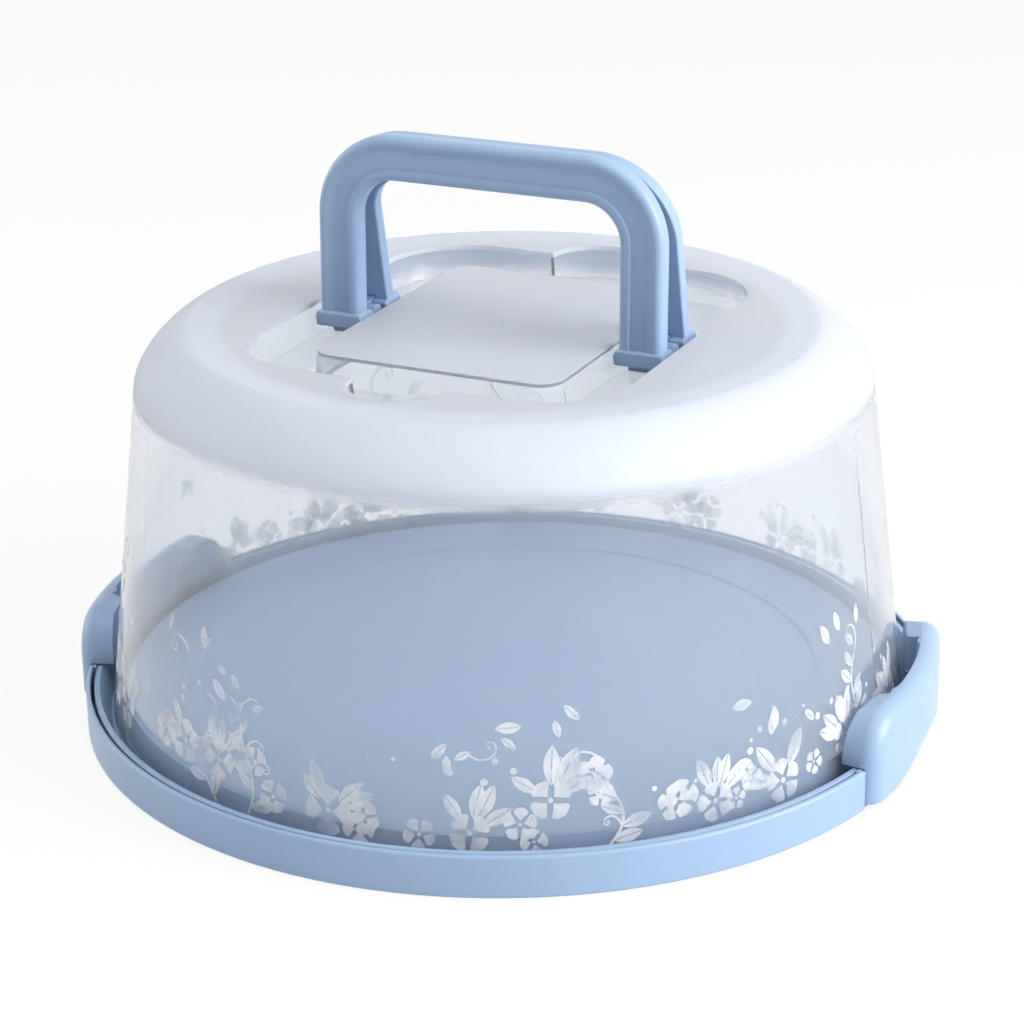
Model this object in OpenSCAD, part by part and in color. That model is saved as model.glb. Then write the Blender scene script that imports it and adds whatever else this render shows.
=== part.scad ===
// Round cake carrier: a base ring with a tray set into it, a domed cover that lifts off, a carrying
// handle in two halves that fold down into a moat in the cover's top, and a hinged latch on each
// side that swings up against the foot of the cover.
// Sizes are in mm. X runs through the two latches, Z is up, and the origin is the centre of the
// underside. On the cover and the handle, u runs along the grip and v across it.

/* [Base] */
// Outer diameter of the base
base_d = 310; // [280:1:340]
// Height of the skirt round the base
base_h = 15.3; // [15:0.1:18]
// Thickness of the skirt
base_wall = 1.6; // [1.4:0.1:2]
// Rounding of the skirt's outer edges
skirt_round = 1.2; // [0.4:0.1:1.3]
// Thickness of the flange that the carrier stands on
flange_t = 3; // [2:0.1:3.4]
// Width of the flange, from the skirt inwards
flange_w = 27; // [20:1:40]

/* [Tray] */
// Gap between the tray's rim and the skirt
tray_gap = 1.4; // [1:0.1:2]
// Thickness of the tray
tray_wall = 2; // [1.5:0.1:2.4]
// How far the tray lies below the skirt's top edge
tray_drop = 0.3; // [0.1:0.1:0.8]
// Width of the flat on top of the rim
rim_w = 2; // [1.6:0.1:2.6]
// Width of the rim's slope down to the gutter
slope_w = 3.7; // [3.2:0.1:4.5]
// Width of the gutter that the cover stands in
gutter_w = 5.3; // [4.5:0.1:7]
// How far the gutter's inner wall leans in over its height
gutter_lean = 1.3; // [0.5:0.1:2]
// Diameter of the shallow dish in the tray's floor
dish_d = 227.6; // [180:1:240]
// Depth of the dish
dish_depth = 0.8; // [0.4:0.1:1.5]
// Thickness of the ribs under the tray
rib_t = 1.6; // [1.2:0.1:2.4]
// Depth of the ribs under the tray
rib_h = 5; // [3:0.5:6]
// Radius of the inner ring rib under the tray
rib_ring_r = 60; // [40:1:90]

/* [Cover] */
// Height of the cover, from its foot to its flat top
cover_h = 142.6; // [110:1:180]
// Thickness of the cover
cover_wall = 1.8; // [1.5:0.1:2.2]
// Gap between the cover's foot and the foot of the rim's slope
cover_gap = 0.9; // [0.7:0.1:1.2]
// Height of the upright band at the cover's foot
foot_band = 2.3; // [1.5:0.1:4]
// Extra thickness inside the foot
foot_lip = 0.6; // [0.3:0.1:1]
// Draft of the cover's side, in degrees
cover_draft = 6.72; // [4:0.02:8]
// Height of the shoulder
shoulder_h = 19.6; // [15:0.1:26]
// Width of the shoulder
shoulder_w = 19.5; // [15:0.1:22]
// Exponent of the shoulder's curve: 2 is an ellipse, less is flatter
shoulder_n = 1.48; // [1.3:0.02:2.4]
// Turn of the cover and handle on the base, in degrees
cover_turn = -6.5; // [-15:0.5:15]

/* [Handle] */
// Width of the handle
handle_w = 132.6; // [110:0.2:140]
// Height of the handle above its hinge pins
handle_h = 68.6; // [55:0.1:72]
// Width of the strip that the handle is made of
strip_w = 16.2; // [14:0.1:18]
// Distance from the pin to the strip's outer face
strip_front = 6.2; // [5.5:0.1:7]
// Distance from the pin to the strip's inner face
strip_back = 0.6; // [0.3:0.1:1]
// Outer radius of the handle's corners
corner_r = 30; // [24:0.5:34]
// Width of the border inside the sunk panel that runs along the strip
border_in = 4; // [3:0.1:5]
// Width of the border outside the sunk panel
border_out = 2.5; // [2:0.1:3.5]
// Width of the panel's soft rise to the outer border
panel_rise = 3.8; // [2:0.1:5]
// Depth of the sunk panel
panel_d = 1.2; // [0.6:0.1:1.6]
// Rounding of the strip's outer edges
edge_front = 2.8; // [2:0.1:3.4]
// Rounding of the strip's inner edges
edge_back = 0.8; // [0.6:0.1:1.8]
// Distance of each hinge pin from the handle's middle plane
pin_off = 8.5; // [8.2:0.1:10]
// Depth of the pins below the cover's flat top
pin_drop = 4.1; // [2:0.1:5]
// Lean of the front half from upright, in degrees
front_lean = 1.5; // [0:0.1:4]
// Gap left between the two halves at the top
tip_gap = 0.5; // [0.1:0.05:1]

/* [Handle feet and brackets] */
// How far the feet stand proud of the strip's outer face
foot_proud = 0.7; // [0.4:0.1:1]
// How far the feet stand out beyond the handle's sides
foot_out = 1; // [0.6:0.1:1.6]
// How far the feet stand in from the handle's legs
foot_in = 1.1; // [0.8:0.1:2.2]
// Depth of the feet below the pin
foot_below = 3; // [2.8:0.1:3.4]
// Height of the feet above the pin
foot_above = 2.6; // [2.4:0.1:5]
// Height of the slope from the feet's sides up to the legs
foot_slope = 1.9; // [1:0.1:2.4]
// How far the feet's sides lean in below that slope
foot_taper = 0.4; // [0:0.1:0.6]
// Distance from the pin to the back of the feet
foot_back = 3.2; // [3:0.1:3.4]
// Radius of the hinge pins
pin_r = 2; // [1.6:0.1:2.2]
// Running clearance round the pins
pin_play = 0.06; // [0.03:0.01:0.1]
// Width of the bracket's tongue
tongue_w = 5.4; // [4.6:0.1:6]
// Radius of the tongue's ends
tongue_r = 3.2; // [3:0.1:3.3]
// Clearance on each side of the tongue
tongue_play = 0.3; // [0.2:0.05:0.5]
// Thickness of the post that stands between the feet
post_t = 6.6; // [5:0.1:6.8]
// Thickness of the bracket's base
bracket_t = 1.5; // [1:0.1:1.8]
// How far the bracket's base reaches beyond the post
bracket_lip = 0.6; // [0.3:0.1:1]
// Distance of the post's ends from the feet's ends
post_inset = 1.4; // [1.2:0.1:2]

/* [Moat] */
// Space between the folded handle and the moat's ends
moat_end_gap = 2.7; // [2:0.1:5]
// Space between the folded handle and the moat's long sides
moat_side_gap = 2.5; // [2:0.1:5]
// Space under the folded handle
moat_floor_gap = 1.2; // [1:0.1:2.5]
// Space between the handle and the pad inside it
pad_gap = 1.4; // [0.8:0.1:2]
// Depth of the pad below the cover's flat top
pad_drop = 1.6; // [1:0.1:2.5]
// Corner radius of the pad's top
pad_corner_r = 9; // [4:0.1:12]
// How far the moat's outer wall leans out over its height
moat_draft = 1; // [0.4:0.1:1.6]
// How far the pad's wall leans in over its height
pad_draft = 1.2; // [0.8:0.1:3]
// Radius of the round finger notches in the moat's long sides
finger_r = 17.3; // [12:0.1:20]
// Radius of the moulding gate mark on the pad
gate_r = 1.6; // [1:0.1:2.5]

/* [Latches] */
// Width of a latch along the base
latch_w = 102; // [92:1:108]
// Height of a latch's crest above the ground
latch_top = 33.4; // [30:0.1:36]
// Height of a latch's bottom edge above the ground
latch_bottom = 1.8; // [1.6:0.1:2.4]
// How far a latch stands out from the skirt
latch_reach = 3.2; // [2.8:0.1:3.6]
// Rounding of a latch's top edge and of its upright end edges
latch_edge_r = 6.3; // [5:0.1:7]
// Radius of a latch's top corners, seen from outside
latch_corner_r = 16; // [12:0.5:18]
// Rounding of a latch's lowest edges
latch_foot_r = 1.2; // [0.6:0.1:2]
// Radius of the belly below a latch's upright outer face, in section
belly_r = 15.2; // [14:0.1:20]
// Height at which the belly begins
belly_z = 13; // [10:0.5:16]
// Slope of a latch's top from its crest down to the cover, in degrees
latch_slope = 14; // [6:0.5:18]
// Gap between a latch and the notch in the skirt, at each end
latch_end_gap = 0.5; // [0.4:0.1:1]
// Gap between a latch's paws and the cover's foot, as it passes them
latch_gap = 0.6; // [0.5:0.05:0.8]
// Thickness of the wall outside the finger gap
grip_wall = 7; // [6:0.1:8]
// Length of the finger gap
grip_l = 51; // [44:1:56]
// Radius of the finger gap's corners
grip_corner_r = 10; // [7:0.5:12]
// Radius of the corners at the finger gap's mouth
grip_mouth_r = 4; // [3:0.5:5]
// Height of the finger gap's floor above the skirt
grip_floor = 3; // [2:0.1:4]
// Distance of the latch's hinge axis inside the skirt
hinge_in = 4.3; // [4.2:0.1:4.6]
// Height of the latch's hinge axis
hinge_z = 4.8; // [4.7:0.1:5.4]
// Radius of the hinge barrels
barrel_r = 2.3; // [2.2:0.1:2.5]
// Radius of the hinge bars on the base
bar_r = 1.2; // [1:0.1:1.4]
// Running clearance round the hinge bars
bar_play = 0.06; // [0.03:0.01:0.1]
// Length of a hinge barrel
barrel_l = 10; // [8:0.5:12]
// Distance of the barrels from the latch's middle
barrel_y = 24; // [20:0.5:26]
// Thickness of the cheeks that hold a hinge bar
cheek_t = 3; // [2:0.1:3.5]
// Clearance between the latch and the cheeks
cheek_play = 0.6; // [0.4:0.1:1]
// Clearance between the latch and the wall behind it
latch_clear = 0.4; // [0.35:0.05:0.6]
// Thickness of the straight wall behind a latch
notch_wall = 1.5; // [1.2:0.1:1.7]

/* [Hidden] */
$fn = 96;
BLUE = "#9fb9d6";
CLEAR = [0.9, 0.93, 0.97, 0.35];
eps = 0.01;
far = 400;           // longer than anything here
shoulder_steps = 18; // straight steps along the shoulder's curve
edge_steps = 6;      // straight steps round a small edge
seat_gap = 0.1;      // left between the cover's foot and the gutter

// Base and tray
base_r = base_d / 2;
skirt_in = base_r - base_wall;
tray_r = skirt_in - tray_gap;
tray_z = base_h - tray_drop;
gutter_z = flange_t + tray_wall;
rim_in = tray_r - rim_w;
gutter_out = rim_in - slope_w;
gutter_in = gutter_out - gutter_w;
floor_r = gutter_in - gutter_lean;
tray_side = 0.8 * tray_wall;      // the rim's outer wall is thinner than the floor
tray_foot = flange_t + 0.2;
rib_n = 8;

// Notches behind the latches
hinge_x = base_r - hinge_in;
latch_in_x = hinge_x - barrel_r;
notch_x = latch_in_x - latch_clear;
notch_r = skirt_in + 0.1;
tray_clear = 0.3;                 // between the tray and the walls of the notches
notch_half = latch_w / 2 + latch_end_gap;

// Cover
cover_r = gutter_out - cover_gap;
foot_z = gutter_z + seat_gap;
top_z = foot_z + cover_h;
draft_z = foot_z + foot_band;
shoulder_z = top_z - shoulder_h;
shoulder_r = cover_r - (shoulder_z - draft_z) * tan(cover_draft);
top_r = shoulder_r - shoulder_w;

// Handle, feet and moat
pin_z = top_z - pin_drop;
leg_u = handle_w / 2 - strip_w / 2;
leg_in = handle_w / 2 - strip_w;
corner_u = handle_w / 2 - corner_r;
corner_h = handle_h - corner_r;
foot_u0 = leg_in - foot_in;
foot_u1 = handle_w / 2 + foot_out;
foot_front = strip_front + foot_proud;
foot_edge = 1;
pin_end_wall = 0.8;               // left beyond each blind pin bore
pin_end_gap = 0.3;
tongue_gap = 0.4;                 // between a tongue and the foot round it
tongue_above = 2.4;               // height of the tongue's straight part above the pin
tongue_u = (foot_u0 + foot_u1) / 2;
moat_z = pin_z - foot_front - moat_floor_gap;
moat_u = handle_w / 2 + foot_out + moat_end_gap + moat_draft;
moat_v = pin_off + handle_h + moat_side_gap + moat_draft;
moat_corner_r = corner_r + moat_draft;
pad_z = top_z - pad_drop;
pad_u = foot_u0 - pad_gap - pad_draft;
pad_v = pin_off + handle_h - strip_w - pad_gap - pad_draft;

// Lean of the rear half: it tips forward until its top meets the front half's back
tip_r = norm([strip_back, handle_h]);
tip_reach = 2 * pin_off * cos(front_lean) - strip_back - tip_gap;
rear_lean = asin(tip_reach / tip_r) - atan(strip_back / handle_h) - front_lean;

// Latches: each end block turns its flat outer face to where the ring between them ends
latch_half = latch_w / 2;
latch_out = base_r + latch_reach;
latch_core = base_r - 30;         // the blocks start this far out, inside what is cut away
edge_axis = [latch_out - latch_edge_r, latch_corner_r - latch_edge_r];
latch_turn = asin((latch_half - latch_edge_r) / norm(edge_axis)) - atan(edge_axis.y / edge_axis.x);
crest_r = edge_axis.x - 0.4;      // the top slopes down from here, just inside the rounded edge
belly_step = 0.15;                // so that the belly crosses the outer face and has a faint edge
latch_in_r = base_r - 0.8;        // inner side of a latch's ends, outside the stepped-in skirt
paw_z = base_h + tray_clear;
paw_r = cover_r + latch_gap;
grip_z = paw_z + grip_floor;
grip_r = latch_out - grip_wall;
latch_mid_y = latch_half - 2;     // inside this the lower edge turns close round the axis
latch_end_turn = 4.9;             // turning radius of the latch's lower edge at its ends

// Points along an arc about c
function arc(c, r, a0, a1, n) = [for (i = [0 : n]) c + r * [cos(a0 + (a1 - a0) * i / n),
                                                           sin(a0 + (a1 - a0) * i / n)]];

// Points of the shoulder's curve, from the side up to the flat top, drawn in by t
function shoulder(t) = [for (i = [0 : shoulder_steps])
    let (a = 90 * i / shoulder_steps, p = 2 / shoulder_n)
    [top_r + (shoulder_w - t) * pow(cos(a), p), shoulder_z + (shoulder_h - t) * pow(sin(a), p)]];

// ---------- base ----------

module base_ring() {
    color(BLUE)
    difference() {
        union() {
            rotate_extrude($fn = 180) base_section();
            for (side = [0, 180]) rotate([0, 0, side]) notch_walls();
        }
        for (side = [0, 180]) rotate([0, 0, side]) notch();
    }
    color(BLUE)
    for (side = [0, 180]) rotate([0, 0, side]) hinge_bars();
}

// Skirt with rounded outer edges, and the flange at its foot
module base_section() {
    r = skirt_round;
    polygon(concat(
        [[base_r - flange_w, 0]],
        arc([base_r - r, r], r, -90, 0, edge_steps),
        arc([base_r - r, base_h - r], r, 0, 90, edge_steps),
        [[skirt_in, base_h], [skirt_in, flange_t], [base_r - flange_w, flange_t]]));
}

// Straight wall and stepped-in skirt that close the base behind a latch
module notch_walls() {
    half = notch_half + base_wall;
    intersection() {
        difference() {
            cylinder(r = base_r - skirt_round, h = base_h, $fn = 180);
            translate([0, 0, flange_t])
            intersection() {
                cylinder(r = tray_r + tray_clear, h = far, $fn = 180);
                translate([-far, -far, 0]) cube([far + notch_x - notch_wall, 2 * far, far]);
            }
            translate([0, 0, -eps]) cylinder(r = base_r - flange_w, h = far, $fn = 180);
        }
        translate([0, -half, 0]) cube([far, 2 * half, base_h]);
    }
}

// Room for a latch, outside the walls behind it
module notch() {
    difference() {
        translate([0, -notch_half, -eps]) cube([far, 2 * notch_half, far]);
        intersection() {
            translate([0, 0, -1]) cylinder(r = notch_r, h = far, $fn = 180);
            translate([-far, -far, -1]) cube([far + notch_x, 2 * far, 2 * far]);
        }
    }
}

// Two bars, each held between a pair of cheeks, that the latch's barrels snap onto
module hinge_bars() {
    cheek_y = barrel_l / 2 + cheek_play;
    for (y = [-barrel_y, barrel_y])
        translate([hinge_x, y, hinge_z]) {
            for (s = [-1, 1])
                translate([0, s * (cheek_y + cheek_t / 2), 0]) {
                    along_y(cheek_t) circle(r = barrel_r);
                    along_y(cheek_t)
                        translate([notch_x - notch_wall / 2 - hinge_x, -barrel_r])
                        square([hinge_x - notch_x + notch_wall / 2, 2 * barrel_r]);
                }
            along_y(2 * cheek_y + 2 * cheek_t) circle(r = bar_r);
        }
}

// Draws a section given in x and z, as long as l, centred along Y
module along_y(l) {
    translate([0, l / 2, 0]) rotate([90, 0, 0]) linear_extrude(l) children();
}

// ---------- tray ----------

module tray() {
    color(BLUE)
    difference() {
        union() {
            rotate_extrude($fn = 180) tray_section();
            tray_ribs();
        }
        for (side = [0, 180])
            rotate([0, 0, side])
            translate([notch_x - notch_wall - tray_clear, -far / 2, -1]) cube([far, far, far]);
    }
}

// Dished floor, gutter for the cover's foot, and the raised rim outside it
module tray_section() {
    depth = tray_z - gutter_z;
    dish_z = tray_z - dish_depth;
    step = 0.4;                                       // slope of the dish's edge, and the rim's
    in_t = tray_wall * norm([gutter_lean, depth]) / depth;
    out_t = tray_wall * norm([slope_w, depth]) / depth;
    rise = depth / slope_w;
    meet_z = gutter_z + rise * (tray_r - tray_side - out_t - gutter_out);
    polygon([
        [0, dish_z], [dish_d / 2 - step, dish_z], [dish_d / 2 + step, tray_z], [floor_r, tray_z],
        [gutter_in, gutter_z], [gutter_out, gutter_z], [rim_in, tray_z],
        [tray_r - step, tray_z], [tray_r, tray_z - step],
        [tray_r, tray_foot], [tray_r - tray_side, tray_foot], [tray_r - tray_side, meet_z],
        [gutter_out + out_t - tray_wall / rise, gutter_z - tray_wall],
        [gutter_in - in_t + tray_wall * gutter_lean / depth, gutter_z - tray_wall],
        [floor_r - in_t + tray_wall * gutter_lean / depth, tray_z - tray_wall],
        [dish_d / 2 + step, tray_z - tray_wall], [dish_d / 2 - step, dish_z - tray_wall],
        [0, dish_z - tray_wall]]);
}

// Stiffening ribs under the floor: spokes, a ring inside the dish and one under its edge
module tray_ribs() {
    z = tray_z - tray_wall - rib_h;
    top = tray_z - tray_wall / 2;
    for (i = [0 : rib_n - 1])
        rotate([0, 0, 360 * i / rib_n])
        translate([rib_ring_r, -rib_t / 2, z]) cube([floor_r - tray_wall / 2 - rib_ring_r, rib_t, rib_h]);
    for (r = [rib_ring_r, dish_d / 2])
        translate([0, 0, z])
        rotate_extrude($fn = 180) translate([r - rib_t / 2, 0]) square([rib_t, top - z - dish_depth]);
}

// ---------- cover ----------

module dome_cover() {
    color(CLEAR)
    rotate([0, 0, cover_turn]) {
        difference() {
            union() {
                rotate_extrude($fn = 180) cover_section();
                moat_shape(cover_wall, moat_z - cover_wall, top_z - cover_wall / 2);
            }
            difference() {
                moat_shape(0, moat_z, top_z + 1);
                pad_shape(0, moat_z - 1, pad_z);
            }
            pad_shape(cover_wall, moat_z - cover_wall - 1, pad_z - cover_wall);
        }
        translate([0, 0, pad_z - cover_wall / 2]) cylinder(r = gate_r, h = cover_wall / 2 + 0.2, $fn = 32);
    }
}

// Foot, drafted side, shoulder and flat top
module cover_section() {
    t = cover_wall;
    lip = t + foot_lip;
    polygon(concat(
        [[cover_r - lip, foot_z], [cover_r - 0.4, foot_z], [cover_r, foot_z + 0.4], [cover_r, draft_z]],
        shoulder(0),
        [[0, top_z], [0, top_z - t]],
        [for (i = [shoulder_steps : -1 : 0]) shoulder(t)[i]],
        [[cover_r - t, draft_z + 1], [cover_r - lip, draft_z]]));
}

// Rounded rectangle that widens upwards by draft on each side: half sizes u, v and radius r at z1
module drafted_block(u, v, r, draft, z0, z1) {
    h = z1 - z0;
    for (x = [r - u, u - r], y = [r - v, v - r])
        translate([x, y, z0]) cylinder(r1 = r - draft, r2 = r, h = h, $fn = 64);
    translate([0, v - r, z0]) rotate([90, 0, 0]) linear_extrude(2 * (v - r)) trapezoid(u, draft, h);
    translate([r - u, 0, z0]) rotate([90, 0, 90]) linear_extrude(2 * (u - r)) trapezoid(v, draft, h);
}

module trapezoid(half, draft, h) {
    polygon([[draft - half, 0], [half - draft, 0], [half, h], [-half, h]]);
}

// The moat's outline with its finger notches, grown by t, between two heights
module moat_shape(t, z0, z1) {
    slope = moat_draft / (top_z - moat_z);
    grow = t + slope * (z1 - top_z);
    drawn = slope * (z1 - z0);
    drafted_block(moat_u + grow, moat_v + grow, moat_corner_r + grow, drawn, z0, z1);
    for (y = [-moat_v, moat_v])
        translate([0, y, z0])
        cylinder(r1 = finger_r + grow - drawn, r2 = finger_r + grow, h = z1 - z0, $fn = 64);
}

// The pad's outline, grown by t, between two heights; it narrows upwards
module pad_shape(t, z0, z1) {
    slope = pad_draft / (pad_z - moat_z);
    grow = slope * (pad_z - z0) - t;
    mirror([0, 0, 1])
        drafted_block(pad_u + grow, pad_v + grow, pad_corner_r + grow, slope * (z1 - z0), -z1, -z0);
}

// ---------- handle ----------

// The strip's cross-section: x across the strip, y outwards, with or without the sunk panel
module strip_section(panel) {
    difference() {
        rounded_section(strip_w / 2, -strip_back, strip_front, edge_back, edge_front);
        if (panel) sunk_panel();
    }
}

// What the sunk panel takes away: steep at the inner border, and rising softly to the outer one
module sunk_panel() {
    x0 = border_in - strip_w / 2;
    x1 = strip_w / 2 - border_out;
    n = edge_steps;
    polygon(concat(
        [[x1, strip_front + 1], [x0, strip_front + 1], [x0, strip_front],
         [x0 + panel_d / 4, strip_front - panel_d]],
        [for (i = [0 : n]) [x1 - panel_rise * (1 - i / n),
                            strip_front - panel_d * (1 + cos(180 * i / n)) / 2]]));
}

// Rectangle with one radius on its lower corners and another on its upper corners
module rounded_section(half, y0, y1, r0, r1) {
    translate([-half, y0 + r0]) square([2 * half, y1 - y0 - r0 - r1]);
    translate([r0 - half, y0]) square([2 * (half - r0), r0 + eps]);
    translate([r1 - half, y1 - r1 - eps]) square([2 * (half - r1), r1 + eps]);
    for (s = [-1, 1]) {
        translate([s * (half - r0), y0 + r0]) circle(r = r0, $fn = 32);
        translate([s * (half - r1), y1 - r1]) circle(r = r1, $fn = 32);
    }
}

// One half of the handle, lying flat: x is u, y is the height above the pin, z points outwards
module flat_handle() {
    for (s = [0, 1]) mirror([s, 0, 0]) {
        translate([leg_u, corner_h, 0])
            rotate([90, 0, 0]) linear_extrude(corner_h - foot_above + eps) strip_section(true);
        translate([leg_u, foot_above, 0])
            rotate([90, 0, 0]) linear_extrude(foot_above) strip_section(false);
        translate([corner_u, corner_h, 0])
            rotate_extrude(angle = 90) translate([corner_r - strip_w / 2, 0]) strip_section(true);
        foot_block();
    }
    translate([-corner_u, handle_h - strip_w / 2, 0])
        rotate([90, 0, 90]) linear_extrude(2 * corner_u) strip_section(true);
}

// Block round the pin, with sides that slope up to the leg
module foot_block() {
    t = foot_taper;
    low = -foot_below - eps;
    high = foot_above + eps;
    intersection() {
        translate([foot_u0, 0, 0]) rotate([90, 0, 90]) linear_extrude(foot_u1 - foot_u0)
            translate([(foot_above - foot_below) / 2, 0])
            rounded_section((foot_above + foot_below) / 2, -foot_back, foot_front, foot_edge, foot_edge);
        translate([0, 0, -foot_back - 1]) linear_extrude(foot_back + foot_front + 2)
            polygon([[foot_u0 + t, low], [foot_u1 - t, low], [foot_u1, foot_above - foot_slope],
                     [foot_u1 - foot_out, high], [foot_u0 + foot_in, high],
                     [foot_u0, foot_above - foot_slope]]);
    }
}

// Slot for the bracket's tongue and blind bore for its pin
module foot_cuts() {
    slot_w = tongue_w + 2 * tongue_play;
    translate([tongue_u - slot_w / 2, -foot_below - 1, -foot_back - 1])
        cube([slot_w, foot_below + 1 + tongue_r + tongue_gap, foot_back + 1 + tongue_r + tongue_gap]);
    translate([foot_u0 + pin_end_wall, 0, 0])
        rotate([0, 90, 0]) cylinder(r = pin_r + pin_play, h = foot_u1 - foot_u0 - 2 * pin_end_wall, $fn = 48);
}

// A half stands on its pin at v = -pin_off and leans back towards the middle
module handle_half(lean) {
    color(BLUE)
    translate([0, -pin_off, pin_z])
    rotate([90 - lean, 0, 0])
    difference() {
        flat_handle();
        for (s = [0, 1]) mirror([s, 0, 0]) foot_cuts();
    }
}

module handle_front() {
    rotate([0, 0, cover_turn]) handle_half(front_lean);
}

module handle_rear() {
    rotate([0, 0, cover_turn + 180]) handle_half(rear_lean);
}

// Bracket on the moat's floor: base, post between the feet, tongue and the two pins it carries
module handle_bracket() {
    u0 = foot_u0 + post_inset;
    u1 = foot_u1 - post_inset;
    lip = bracket_lip;
    post_top = pin_z + foot_above;
    color(BLUE)
    rotate([0, 0, cover_turn]) {
        translate([u0 - lip, -post_t / 2 - lip, moat_z])
            cube([u1 - u0 + 2 * lip, post_t + 2 * lip, bracket_t]);
        translate([u0, 0, 0])
        rotate([90, 0, 90]) linear_extrude(u1 - u0) {
            translate([-post_t / 2, moat_z]) square([post_t, post_top - post_t / 2 - moat_z]);
            translate([0, post_top - post_t / 2]) circle(r = post_t / 2, $fn = 48);
        }
        translate([tongue_u - tongue_w / 2, 0, pin_z])
        rotate([90, 0, 90]) linear_extrude(tongue_w) {
            translate([-pin_off, -foot_below]) square([2 * pin_off, foot_below + tongue_above]);
            for (v = [-pin_off, pin_off]) translate([v, 0]) circle(r = tongue_r, $fn = 48);
        }
        for (v = [-pin_off, pin_off])
            translate([foot_u0 + pin_end_wall + pin_end_gap, v, pin_z])
            rotate([0, 90, 0])
            cylinder(r = pin_r, h = foot_u1 - foot_u0 - 2 * (pin_end_wall + pin_end_gap), $fn = 48);
    }
}

module handle_bracket_right() {
    handle_bracket();
}

module handle_bracket_left() {
    rotate([0, 0, 180]) handle_bracket();
}

// ---------- latches ----------

module latch() {
    color(BLUE)
    difference() {
        latch_body();
        translate([0, 0, paw_z]) cylinder(r = paw_r, h = far, $fn = 180);
        base_room();
        translate([0, 0, grip_z]) linear_extrude(far) grip_plan();
        translate([0, -grip_l / 2, 0]) cube([latch_in_x, grip_l, far]);
        lower_turn(latch_half + 1, latch_end_turn);
        lower_turn(latch_mid_y, barrel_r);
        barrel_cuts();
    }
}

// A stretch of a ring with a rounded block at each end, a belly below and a top that slopes inwards
module latch_body() {
    w = latch_out - latch_core;
    h = latch_top - latch_bottom;
    slope_top = latch_top + (latch_out - crest_r) * tan(latch_slope);
    difference() {
        union() {
            rotate([0, 0, -latch_turn])
                rotate_extrude(angle = 2 * latch_turn, $fn = 180)
                translate([latch_core, latch_bottom])
                intersection() {
                    nose(w, h, latch_edge_r);
                    foot_section(w, h);
                }
            for (s = [0, 1]) mirror([0, s, 0]) rotate([0, 0, latch_turn]) latch_end(w);
        }
        along_y(far)
            difference() {
                translate([latch_out - belly_r, 0]) square([far, belly_z]);
                translate([latch_out - belly_r + belly_step, belly_z]) circle(r = belly_r);
            }
        rotate_extrude($fn = 180)
            polygon([[latch_out, slope_top], [latch_core, slope_top],
                     [latch_core, latch_top - (crest_r - latch_core) * tan(latch_slope)]]);
    }
}

// End block, with x outwards: its top corner turns about a line along x, its end edge about an
// upright one
module latch_end(w) {
    c = latch_corner_r;
    e = latch_edge_r;
    h = latch_top - c - latch_bottom;
    translate([latch_core, 0, latch_top - c])
        rotate([0, 90, 0]) rotate([0, 0, 90]) rotate_extrude(angle = 90) nose(c, w, e);
    translate([latch_core, 0, latch_bottom]) {
        translate([0, c - e, 0]) rotate([90, 0, 0]) linear_extrude(c - e) foot_section(w, h);
        rotate([90, 0, 90]) linear_extrude(w - e) foot_section(c, h);
        translate([w - e, c - e, 0]) rotate_extrude() foot_section(e, h);
    }
}

// Rectangle with its far upper corner rounded
module nose(w, h, r) {
    square([w - r, h]);
    square([w, h - r]);
    translate([w - r, h - r]) circle(r = r);
}

// Rectangle with its far lower corner rounded
module foot_section(w, h) {
    translate([0, h]) mirror([0, 1]) nose(w, h, latch_foot_r);
}

// Room for the base's walls behind the lower part of the latch
module base_room() {
    intersection() {
        translate([0, 0, -1]) cylinder(r = latch_in_r, h = paw_z + 1 + eps, $fn = 180);
        translate([0, -far / 2, -1]) cube([latch_in_x, far, paw_z + 1 + eps]);
    }
}

// Finger gap from above: a bowed outer wall between rounded corners, and a rounded mouth
module grip_plan() {
    half = grip_l / 2;
    r = grip_corner_r;
    m = grip_mouth_r;
    cy = half - r;
    cx = sqrt(pow(grip_r - r, 2) - cy * cy);
    mouth = sqrt(paw_r * paw_r - pow(half + m, 2));
    intersection() {
        circle(r = grip_r, $fn = 180);
        polygon([[0, 0], 2 * [cx, -cy], 2 * [cx, cy]]);
    }
    translate([0, -half]) square([cx, grip_l]);
    for (s = [-1, 1]) {
        translate([cx, s * cy]) circle(r = r, $fn = 64);
        difference() {
            translate([0, s * (half + m / 2) - m / 2 - eps]) square([mouth + m, m + 2 * eps]);
            translate([mouth + m, s * (half + m)]) circle(r = m, $fn = 48);
        }
    }
}

// Rounds the lower inner edge about the hinge axis, so that it can turn in front of the wall
module lower_turn(half, r) {
    translate([hinge_x, 0, hinge_z])
    along_y(2 * half)
    difference() {
        translate([-20, -20]) square([20, 20]);
        circle(r = r);
    }
}

// Slots for the base's cheeks, bores for its bars and the openings through which they snap in
module barrel_cuts() {
    for (y = [-barrel_y, barrel_y]) {
        for (s = [-1, 1])
            translate([0, y + s * (barrel_l + cheek_t + 2 * cheek_play) / 2 - cheek_t / 2 - cheek_play, -1])
            cube([hinge_x + barrel_r + 0.2, cheek_t + 2 * cheek_play, hinge_z + barrel_r + 0.8 + 1]);
        translate([hinge_x, y, hinge_z]) {
            along_y(barrel_l + 1) circle(r = bar_r + bar_play, $fn = 48);
            along_y(barrel_l + 1) translate([-10, -0.8 * bar_r]) square([10, 1.6 * bar_r]);
        }
    }
}

module latch_right() {
    latch();
}

module latch_left() {
    rotate([0, 0, 180]) latch();
}

base_ring();
tray();
dome_cover();
handle_bracket_left();
handle_bracket_right();
handle_front();
handle_rear();
latch_left();
latch_right();
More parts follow.
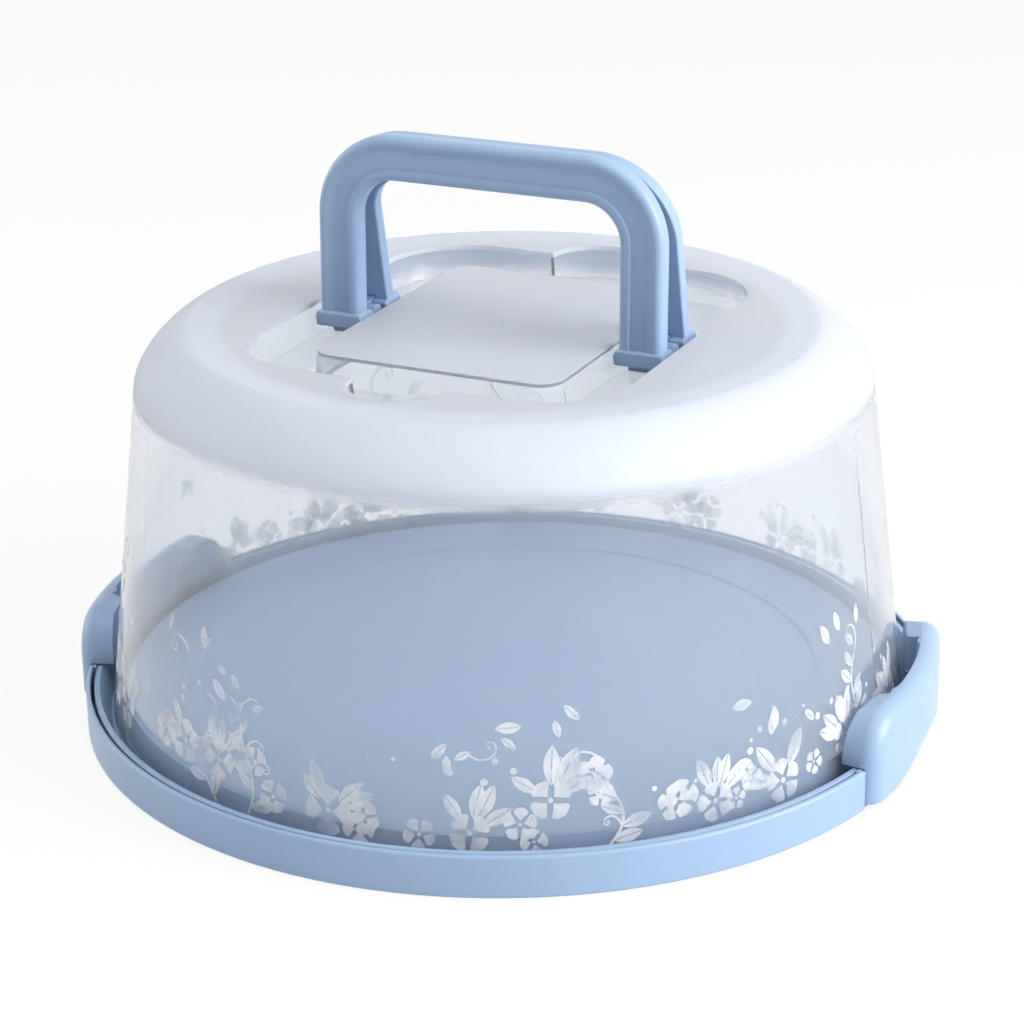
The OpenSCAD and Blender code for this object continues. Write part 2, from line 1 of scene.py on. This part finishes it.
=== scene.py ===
"""Looks for the round cake carrier: satin blue mouldings, a clear cover with a frosted crown, and a
white floral print round the cover's wall. Lengths are in metres unless a name ends in _mm."""
import cmath
import math
import random

import bpy
from mathutils import Matrix, Vector


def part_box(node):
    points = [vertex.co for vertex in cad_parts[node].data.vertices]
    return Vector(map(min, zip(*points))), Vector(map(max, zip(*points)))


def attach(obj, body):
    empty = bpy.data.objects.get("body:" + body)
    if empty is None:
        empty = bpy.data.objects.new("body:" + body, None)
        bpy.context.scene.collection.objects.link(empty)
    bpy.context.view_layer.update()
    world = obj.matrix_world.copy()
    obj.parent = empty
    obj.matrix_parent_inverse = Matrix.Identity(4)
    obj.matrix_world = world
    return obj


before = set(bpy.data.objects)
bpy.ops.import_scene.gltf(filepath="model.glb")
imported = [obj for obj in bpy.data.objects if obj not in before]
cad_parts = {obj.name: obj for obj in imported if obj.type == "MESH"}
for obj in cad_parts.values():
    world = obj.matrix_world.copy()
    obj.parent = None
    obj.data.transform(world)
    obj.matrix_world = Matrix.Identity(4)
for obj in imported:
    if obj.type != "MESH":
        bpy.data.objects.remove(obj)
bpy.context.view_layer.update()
MM = 0.001


# ---------- the carrier's own sizes ----------

cover_low, cover_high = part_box("dome_cover")
foot_radius = (cover_high[0] - cover_low[0]) / 2     # outside of the cover's foot
foot_z = cover_low[2]                                # underside of the cover's foot
crown_top = cover_high[2]                            # flat top of the cover
FOOT_BAND = 2.3 * MM                                 # upright band at the cover's foot
WALL_DRAFT = math.radians(6.72)                      # lean of the cover's wall
SHOULDER_H = 19.6 * MM                               # height of the crown's rounded shoulder
PAD_DROP = 1.6 * MM                                  # the pad lies this far below the flat top
MOAT_REACH = 100 * MM                                # nothing of the moat is further out than this


def wall_radius(z):
    """Outside radius of the cover's wall at a height."""
    return foot_radius - (z - foot_z - FOOT_BAND) * math.tan(WALL_DRAFT)


# ---------- the photograph's viewpoint: in front, a little to the right and above ----------

CAM_AT = Vector((0.31878, -0.91180, 0.44991))
CAM_HEADING = 19.134                                 # degrees about Z, 0 looks along +Y
CAM_PITCH = -21.287                                  # degrees, down
CAM_ROLL = -0.707                                    # degrees
FOCAL_PX = 2853.2                                    # focal length, in pixels of the picture
PICTURE_PX = 1024                                    # width of the picture


# ---------- small tools ----------

def srgb(hex_colour):
    """Linear colour of an sRGB hex value."""
    channels = [int(hex_colour[i:i + 2], 16) / 255 for i in (1, 3, 5)]
    return [c / 12.92 if c <= 0.04045 else ((c + 0.055) / 1.055) ** 2.4 for c in channels] + [1.0]


def add_node(tree, kind, inputs=None, **settings):
    """Adds a node, with its settings, and sets or links its inputs by name or number."""
    made = tree.nodes.new(kind)
    for name, value in settings.items():
        setattr(made, name, value)
    for name, value in (inputs or {}).items():
        if isinstance(value, bpy.types.NodeSocket):
            tree.links.new(value, made.inputs[name])
        else:
            made.inputs[name].default_value = value
    return made


def new_material(name):
    """An empty node material and its tree."""
    material = bpy.data.materials.new(name)
    material.use_nodes = True
    material.node_tree.nodes.clear()
    return material, material.node_tree


def set_material(obj, material):
    """Gives an object this one material."""
    obj.data.materials.clear()
    obj.data.materials.append(material)


def add_mesh(name, points, faces):
    """Adds a mesh object to the scene."""
    mesh = bpy.data.meshes.new(name)
    mesh.from_pydata(points, [], faces)
    mesh.update()
    made = bpy.data.objects.new(name, mesh)
    bpy.context.scene.collection.objects.link(made)
    return made


# ---------- materials ----------

def satin_polypropylene():
    """Injection-moulded polypropylene in pale blue, with a satin mould finish: a soft broad
    highlight, faint cloudiness in the colour, and a fine grain that only breaks up the gloss."""
    cloud_mm = 45          # drift in the pigment, as it flowed from the gate
    grain_mm = 0.9         # spark-eroded grain, drawn coarser than the real 0.1 mm so that it shows
    grain_depth_mm = 0.05
    edge_mm = 0.3          # the small radius on each moulded edge, which catches the light
    bleed_mm = 1.5         # how far light spreads in the pigmented plastic
    material, tree = new_material("polypropylene_satin_pale_blue")
    place = add_node(tree, "ShaderNodeTexCoord").outputs["Object"]
    cloud = add_node(tree, "ShaderNodeTexNoise",
                     {"Vector": place, "Scale": 1 / (cloud_mm * MM), "Detail": 3.0})
    colour = add_node(tree, "ShaderNodeMix",
                      {"Factor": cloud.outputs["Fac"], "A": srgb("#91ACCC"), "B": srgb("#9AB3D1")},
                      data_type="RGBA")
    grain = add_node(tree, "ShaderNodeTexNoise",
                     {"Vector": place, "Scale": 1 / (grain_mm * MM), "Detail": 2.0})
    gloss = add_node(tree, "ShaderNodeMapRange",
                     {"Value": grain.outputs["Fac"], "To Min": 0.30, "To Max": 0.42})
    edge = add_node(tree, "ShaderNodeBevel", {"Radius": edge_mm * MM}, samples=6)
    bump = add_node(tree, "ShaderNodeBump",
                    {"Height": grain.outputs["Fac"], "Strength": 0.10,
                     "Distance": grain_depth_mm * MM, "Normal": edge.outputs["Normal"]})
    plastic = add_node(tree, "ShaderNodeBsdfPrincipled",
                       {"Base Color": colour.outputs["Result"], "Roughness": gloss.outputs["Result"],
                        "IOR": 1.49, "Subsurface Weight": 0.08, "Subsurface Scale": bleed_mm * MM,
                        "Subsurface Radius": (0.6, 0.8, 1.0), "Normal": bump.outputs["Normal"]})
    add_node(tree, "ShaderNodeOutputMaterial", {"Surface": plastic.outputs["BSDF"]})
    return material


def frosted_places(tree, place):
    """1 where the cover is frosted, which is its crown and the pad, and 0 on the wall and in the
    moat. The frost fades in over the start of the crown's shoulder."""
    fade_from = crown_top - SHOULDER_H - 5 * MM
    fade_to = crown_top - SHOULDER_H + 4 * MM
    moat_below = crown_top - PAD_DROP - 0.15 * MM        # just under the pad's face
    split = add_node(tree, "ShaderNodeSeparateXYZ", {0: place}).outputs
    flat = add_node(tree, "ShaderNodeCombineXYZ", {0: split[0], 1: split[1]})
    reach = add_node(tree, "ShaderNodeVectorMath", {0: flat.outputs[0]}, operation="LENGTH")
    crown = add_node(tree, "ShaderNodeMapRange",
                     {"Value": split[2], "From Min": fade_from, "From Max": fade_to},
                     interpolation_type="SMOOTHSTEP")
    inside = add_node(tree, "ShaderNodeMath",
                      {0: reach.outputs["Value"], 1: MOAT_REACH}, operation="LESS_THAN")
    sunk = add_node(tree, "ShaderNodeMath", {0: split[2], 1: moat_below}, operation="LESS_THAN")
    moat = add_node(tree, "ShaderNodeMath",
                    {0: inside.outputs["Value"], 1: sunk.outputs["Value"]}, operation="MULTIPLY")
    not_moat = add_node(tree, "ShaderNodeMath", {0: 1.0, 1: moat.outputs["Value"]},
                        operation="SUBTRACT")
    frost = add_node(tree, "ShaderNodeMath",
                     {0: crown.outputs["Result"], 1: not_moat.outputs["Value"]}, operation="MULTIPLY")
    return frost.outputs["Value"]


def clear_and_frosted():
    """Moulded clear polypropylene: glossy and nearly clear on the wall and in the moat, with the
    slight milkiness of the raw plastic. The crown and the pad are blasted in the mould, so they
    scatter what is behind them into a soft white glow."""
    haze_mm = 60           # cloudiness of the raw plastic
    speck_mm = 1.2         # blasted grain, drawn coarser than the real 0.05 mm so that it shows
    speck_depth_mm = 0.1
    bleed_mm = 2           # how far light spreads in the milky part
    least_milk = 0.08      # share of milkiness in the raw plastic
    most_milk = 0.104      # kept under 0.11, where a render's denoiser would outline each cloud
    frost_milk = 0.42      # how much milkier the frosted places are
    material, tree = new_material("polypropylene_clear_and_frosted")
    place = add_node(tree, "ShaderNodeTexCoord").outputs["Object"]
    frost = frosted_places(tree, place)
    haze = add_node(tree, "ShaderNodeTexNoise",
                    {"Vector": place, "Scale": 1 / (haze_mm * MM), "Detail": 2.0})
    speck = add_node(tree, "ShaderNodeTexNoise",
                     {"Vector": place, "Scale": 1 / (speck_mm * MM), "Detail": 3.0})
    blasted = add_node(tree, "ShaderNodeMath", {0: speck.outputs["Fac"], 1: frost},
                       operation="MULTIPLY")
    bump = add_node(tree, "ShaderNodeBump",
                    {"Height": blasted.outputs["Value"], "Strength": 0.15,
                     "Distance": speck_depth_mm * MM})
    rough = add_node(tree, "ShaderNodeMapRange", {"Value": frost, "To Min": 0.04, "To Max": 0.62})
    clear = add_node(tree, "ShaderNodeBsdfPrincipled",
                     {"Base Color": srgb("#F8FAFC"), "Roughness": rough.outputs["Result"],
                      "IOR": 1.40, "Transmission Weight": 1.0, "Normal": bump.outputs["Normal"]})
    milk = add_node(tree, "ShaderNodeBsdfPrincipled",
                    {"Base Color": srgb("#E6EBFA"), "Roughness": 0.5, "IOR": 1.40,
                     "Subsurface Weight": 1.0, "Subsurface Scale": bleed_mm * MM,
                     "Subsurface Radius": (1.0, 1.0, 1.0), "Normal": bump.outputs["Normal"]})
    raw_milk = add_node(tree, "ShaderNodeMapRange",
                        {"Value": haze.outputs["Fac"], "To Min": least_milk, "To Max": most_milk})
    added_milk = add_node(tree, "ShaderNodeMath", {0: frost, 1: frost_milk}, operation="MULTIPLY")
    milkiness = add_node(tree, "ShaderNodeMath",
                         {0: raw_milk.outputs["Result"], 1: added_milk.outputs["Value"]},
                         operation="ADD")
    mixed = add_node(tree, "ShaderNodeMixShader",
                     {0: milkiness.outputs["Value"], 1: clear.outputs["BSDF"],
                      2: milk.outputs["BSDF"]})
    add_node(tree, "ShaderNodeOutputMaterial", {"Surface": mixed.outputs["Shader"]})
    return material


def white_ink():
    """Pad-printed white ink on plastic: matt, and thin enough that it lets some light through, a
    little more in some places than in others."""
    patch_mm = 14          # how far apart the ink lies thick and thin
    material, tree = new_material("pad_printed_white_ink")
    place = add_node(tree, "ShaderNodeTexCoord").outputs["Object"]
    patch = add_node(tree, "ShaderNodeTexNoise",
                     {"Vector": place, "Scale": 1 / (patch_mm * MM), "Detail": 2.0})
    cover = add_node(tree, "ShaderNodeMapRange",
                     {"Value": patch.outputs["Fac"], "From Min": 0.35, "From Max": 0.65,
                      "To Min": 0.12, "To Max": 0.42})
    ink = add_node(tree, "ShaderNodeBsdfPrincipled",
                   {"Base Color": srgb("#FAFBFD"), "Roughness": 0.6,
                    "Alpha": cover.outputs["Result"]})
    add_node(tree, "ShaderNodeOutputMaterial", {"Surface": ink.outputs["BSDF"]})
    return material


def rays_that_show_white(tree):
    """1 for rays from the camera and for those that gloss or clear plastic passes on."""
    ray = add_node(tree, "ShaderNodeLightPath").outputs
    passed_on = add_node(tree, "ShaderNodeMath",
                         {0: ray["Is Glossy Ray"], 1: ray["Is Transmission Ray"]},
                         operation="MAXIMUM")
    shown = add_node(tree, "ShaderNodeMath",
                     {0: ray["Is Camera Ray"], 1: passed_on.outputs["Value"]}, operation="MAXIMUM")
    return shown.outputs["Value"]


def white_floor():
    """Matt white studio paper. The camera sees it mostly as plain white, with a light shadow."""
    plain_white = 0.85     # how much of it is plain white: the rest takes the shadow
    material, tree = new_material("studio_paper_white")
    share = add_node(tree, "ShaderNodeMath", {0: rays_that_show_white(tree), 1: plain_white},
                     operation="MULTIPLY")
    paper = add_node(tree, "ShaderNodeBsdfDiffuse", {"Color": srgb("#F2F2F2")})
    glow = add_node(tree, "ShaderNodeEmission", {"Color": srgb("#FFFFFF"), "Strength": 1.0})
    mixed = add_node(tree, "ShaderNodeMixShader",
                     {0: share.outputs["Value"], 1: paper.outputs["BSDF"],
                      2: glow.outputs["Emission"]})
    add_node(tree, "ShaderNodeOutputMaterial", {"Surface": mixed.outputs["Shader"]})
    return material


# ---------- the print: drawn flat, in mm, as x along the wall and y up from the table ----------

LEAF_WIDTH = 0.42          # share of a leaf's length
VEIN = 0.3                 # width of the bare line along a leaf's middle


class Print:
    """Collects the flat quads of the print. A point is a complex number, x + y * 1j, in mm."""

    def __init__(self):
        self.points = []
        self.faces = []

    def strip(self, left, right):
        """Quads between two rows of points."""
        first = len(self.points)
        for a, b in zip(left, right):
            self.points += [a, b]
        for i in range(len(left) - 1):
            k = first + 2 * i
            self.faces.append((k, k + 1, k + 3, k + 2))

    def ribbon(self, path, width_from, width_to):
        """A stroke along a path, drawn with an even change of width."""
        last = len(path) - 1
        left, right = [], []
        for i, point in enumerate(path):
            along = path[min(i + 1, last)] - path[max(i - 1, 0)]
            width = width_from + (width_to - width_from) * i / last
            side = along / abs(along) * 1j * width / 2
            left.append(point + side)
            right.append(point - side)
        self.strip(left, right)

    def blade(self, at, turn, length, width, slit=0.0, bluntness=1.0):
        """A leaf or petal: pointed at both ends, or round at the tip, with a slit for its vein."""
        steps = 9
        fullness = 0.8         # under 1 rounds the sides out
        point_half = 0.02      # half the width left at either end
        slit_share = 0.6       # the slit never takes more of the width than this
        forward = cmath.exp(1j * turn)
        high_edge, high_vein, low_vein, low_edge = [], [], [], []
        for i in range(steps + 1):
            t = i / steps
            half = point_half
            if 0 < t < 1:
                half = width / 2 * math.sin(math.pi * t ** bluntness) ** fullness
            gap = min(slit / 2, half * slit_share)
            high_edge.append(at + forward * complex(length * t, half))
            high_vein.append(at + forward * complex(length * t, gap))
            low_vein.append(at + forward * complex(length * t, -gap))
            low_edge.append(at + forward * complex(length * t, -half))
        self.strip(high_edge, high_vein)
        self.strip(low_vein, low_edge)

    def dot(self, at, radius):
        """A small round berry, as two half rims that are joined across."""
        sides = 10
        turns = [2j * math.pi * i / sides for i in range(sides // 2 + 1)]
        self.strip([at + radius * cmath.exp(turn) for turn in turns],
                   [at + radius * cmath.exp(-turn) for turn in turns])

    def curl(self, at, turn, size, hand):
        """A tendril that winds in on itself and ends in a small dot."""
        steps = 26
        first_bend = 7                     # degrees a step, at its start
        added_bend = 22                    # and as many more by its end
        tightening = 1.6                   # over 1 keeps most of the bend for the end
        shortening = 0.72                  # how much shorter the steps have become by its end
        steps_in_size = 9                  # the first step is this part of the curl's size
        thick, thin, end_dot = 0.9, 0.35, 0.55
        path = [at]
        heading = turn
        for i in range(steps):
            t = i / steps
            heading += hand * math.radians(first_bend + added_bend * t ** tightening)
            step = cmath.exp(1j * heading) * size * (1 - shortening * t) / steps_in_size
            path.append(path[-1] + step)
        self.ribbon(path, thick, thin)
        self.dot(path[-1], end_dot)

    def flower(self, at, radius, petals, turn):
        """Round-tipped petals that start clear of a small eye."""
        petal_root = 0.2                   # these four are shares of the flower's radius
        petal_length = 0.8
        petal_widths = 4.0                 # of all the petals together
        eye = 0.13
        for k in range(petals):
            angle = turn + 2 * math.pi * k / petals
            root = at + cmath.exp(1j * angle) * radius * petal_root
            self.blade(root, angle, radius * petal_length, radius * petal_widths / petals,
                       bluntness=1.7)
        self.dot(at, radius * eye)


def sprig(art, rng, at, height, lean):
    """A stem that rises from the foot and sways, with leaves to either side of it and a curl at
    its tip. The leaves get smaller towards the tip."""
    steps = 24
    sway_turn = 4.2                        # radians of the sway's wave, from foot to tip
    stem_from, stem_to = 1.2, 0.6          # its width at the foot and at the tip
    curl_share = 0.35                      # of the leaves, how many have a curl beside them
    sway = rng.uniform(4, 9)
    phase = rng.uniform(0, math.pi)
    path = []
    for i in range(steps + 1):
        t = i / steps
        bend = sway * (math.sin(phase + sway_turn * t) - math.sin(phase))
        path.append(at + complex(lean * t * height + bend, height * t))
    art.ribbon(path, stem_from, stem_to)
    for i in range(3, steps - 2, rng.choice([3, 4])):
        way = cmath.phase(path[i + 1] - path[i - 1])
        side = rng.choice([-1, 1])
        length = rng.uniform(8, 13) * (1.1 - 0.5 * i / steps)
        art.blade(path[i], way + side * rng.uniform(0.6, 1.1), length, length * LEAF_WIDTH,
                  slit=VEIN)
        if rng.random() < curl_share:
            art.curl(path[i], way - side * 0.5, rng.uniform(6, 10), -side)
    way = cmath.phase(path[-1] - path[-2])
    art.curl(path[-1], way, rng.uniform(9, 14), rng.choice([-1, 1]))


def bouquet(art, rng, at):
    """A loose group of flowers and leaves, some large and some small, with a few berries."""
    for _ in range(rng.randint(3, 6)):
        way = rng.uniform(0.15, math.pi - 0.15)
        length = rng.uniform(9, 15)
        root = at + 5 * cmath.exp(1j * way)
        art.blade(root, way, length, length * LEAF_WIDTH, slit=VEIN)
    art.flower(at, rng.uniform(7, 9), rng.choice([4, 5, 5]), rng.uniform(0, 1))
    for _ in range(rng.randint(1, 3)):
        aside = complex(rng.choice([-1, 1]) * rng.uniform(11, 22), rng.uniform(-6, 9))
        art.flower(at + aside, rng.uniform(4, 6.5), rng.choice([4, 5]), rng.uniform(0, 1))
    for _ in range(rng.randint(2, 5)):
        art.dot(at + complex(rng.uniform(-24, 24), rng.uniform(6, 24)), rng.uniform(0.7, 1.4))


def loose_leaves(art, rng, at):
    """A few leaves and a curl that drift by themselves above the flowers."""
    for _ in range(rng.randint(2, 4)):
        length = rng.uniform(6, 10)
        drift = complex(rng.uniform(-16, 16), rng.uniform(-9, 9))
        art.blade(at + drift, rng.uniform(0, 2 * math.pi), length, length * 0.45, slit=0.25)
    if rng.random() < 0.6:
        art.curl(at, rng.uniform(0, 2 * math.pi), rng.uniform(8, 12), rng.choice([-1, 1]))


def draw_print():
    """The whole band, all the way round the wall: low flowers, stems that rise out of them at
    uneven places and heights, and loose leaves above."""
    groups = 23
    stem_share = 0.62                      # how many of the groups have a stem
    stem_heights_mm = [26, 38, 52, 66]
    stem_foot_mm = 10
    loose_share = 0.6                      # how many have loose leaves above them
    art = Print()
    rng = random.Random(47)
    round_mm = 2 * math.pi * wall_radius(foot_z) / MM
    pitch_mm = round_mm / groups
    for i in range(groups):
        start = pitch_mm * (i + rng.uniform(-0.3, 0.3))
        bouquet(art, rng, complex(start, rng.uniform(18, 30)))
        if rng.random() < stem_share:
            height = rng.choice(stem_heights_mm) * rng.uniform(0.85, 1.15)
            foot = complex(start + pitch_mm * rng.uniform(0.2, 0.5), stem_foot_mm)
            sprig(art, rng, foot, height, rng.uniform(-0.35, 0.35))
        if rng.random() < loose_share:
            loose_leaves(art, rng, complex(start, rng.uniform(44, 70)))
    return art


def wrap_print(art):
    """Lays the flat print on the cover's wall, as a skin of ink."""
    lift = 0.04 * MM                       # keeps the skin clear of the wall's own facets
    ink_depth = 0.06 * MM
    foot_mm = wall_radius(foot_z) / MM
    wrapped = []
    for point in art.points:
        z = point.imag * MM
        radius = wall_radius(z) + lift
        angle = point.real / foot_mm
        wrapped.append((radius * math.cos(angle), radius * math.sin(angle), z))
    piece = add_mesh("cover_print", wrapped, art.faces)
    skin = piece.modifiers.new("ink_depth", "SOLIDIFY")
    skin.thickness = ink_depth
    skin.offset = 1.0
    return piece


# ---------- dress the carrier ----------

blue = satin_polypropylene()
clear = clear_and_frosted()
for name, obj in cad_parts.items():
    set_material(obj, clear if name == "dome_cover" else blue)

cover_print = wrap_print(draw_print())
set_material(cover_print, white_ink())
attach(cover_print, "cover")


# ---------- studio and camera ----------

def area_light(name, at, towards, side, watts, colour):
    """A square soft box that faces a point."""
    data = bpy.data.lights.new(name, "AREA")
    data.shape = "SQUARE"
    data.size = side
    data.energy = watts
    data.color = srgb(colour)[:3]
    lamp = bpy.data.objects.new(name, data)
    lamp.location = at
    lamp.rotation_euler = (Vector(towards) - Vector(at)).to_track_quat("-Z", "Y").to_euler()
    bpy.context.scene.collection.objects.link(lamp)


def white_surroundings():
    """Even white all round. It looks fully white, and lights the carrier more gently than that."""
    world = bpy.data.worlds.new("studio")
    world.use_nodes = True
    tree = world.node_tree
    tree.nodes.clear()
    strength = add_node(tree, "ShaderNodeMapRange",
                        {"Value": rays_that_show_white(tree), "To Min": 0.36, "To Max": 1.0})
    sky = add_node(tree, "ShaderNodeBackground",
                   {"Color": srgb("#FFFFFF"), "Strength": strength.outputs["Result"]})
    add_node(tree, "ShaderNodeOutputWorld", {"Surface": sky.outputs["Background"]})
    bpy.context.scene.world = world


def studio():
    """A white floor, a soft lamp from the right, one above, and a weak cool one from the left."""
    half = 8.0
    floor = add_mesh("floor", [(-half, -half, 0), (half, -half, 0), (half, half, 0),
                               (-half, half, 0)], [(0, 1, 2, 3)])
    set_material(floor, white_floor())
    area_light("key_right", (1.6, -0.1, 0.8), (0, 0, 0.08), 1.2, 37, "#FFFFFF")
    area_light("top_soft", (0.1, -0.2, 1.8), (0, 0, 0.1), 1.6, 13, "#FFFFFF")
    area_light("fill_left", (-1.7, 0.0, 0.7), (0, 0, 0.1), 1.4, 10, "#F4F8FF")
    white_surroundings()


def camera():
    """A camera at the photograph's viewpoint."""
    data = bpy.data.cameras.new("camera")
    data.sensor_fit = "HORIZONTAL"
    data.sensor_width = 36.0
    data.lens = FOCAL_PX / PICTURE_PX * data.sensor_width
    data.clip_start = 0.05
    data.clip_end = 50
    view = bpy.data.objects.new("camera", data)
    heading, pitch, roll = (math.radians(a) for a in (CAM_HEADING, CAM_PITCH, CAM_ROLL))
    aim = Matrix.Rotation(heading, 4, "Z") @ Matrix.Rotation(math.pi / 2 + pitch, 4, "X")
    view.matrix_world = Matrix.Translation(CAM_AT) @ aim @ Matrix.Rotation(roll, 4, "Z")
    bpy.context.scene.collection.objects.link(view)
    bpy.context.scene.camera = view


camera()
studio()
bpy.context.scene.view_settings.view_transform = "Standard"
